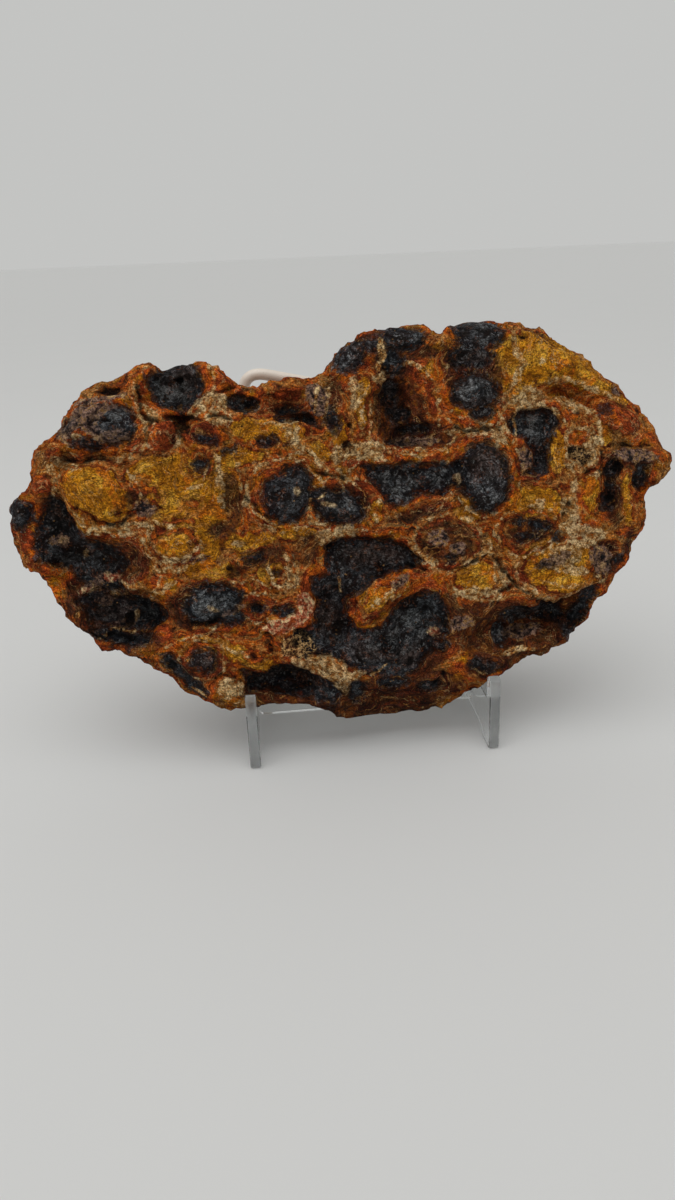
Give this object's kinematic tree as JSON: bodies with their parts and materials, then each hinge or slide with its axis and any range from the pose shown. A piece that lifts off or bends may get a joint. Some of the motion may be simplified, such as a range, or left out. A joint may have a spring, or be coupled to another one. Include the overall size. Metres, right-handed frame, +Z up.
{
  "type": "botryoidal hematite specimen on an easel",
  "caption": "Slab of nodular iron ore leaning in a clear two-plate easel, with a bent wire rest behind it.",
  "frame": {"origin": "middle of the footprint, on the surface the easel stands on", "axes": "+X to the right along the width of the stone, +Y to the back, +Z up"},
  "size_m": [0.2534, 0.1242, 0.156],
  "materials": {
    "stone": "rough, earthy, with dull metallic dark nodules",
    "clear_acrylic": "clear, polished",
    "coated_wire": "cream coating, satin"
  },
  "bodies": {
    "root": {"specimen": "stone", "easel_left_plate": "clear_acrylic", "easel_right_plate": "clear_acrylic", "easel_back_panel": "clear_acrylic", "wire_back_rest": "coated_wire"}
  },
  "joints": []
}
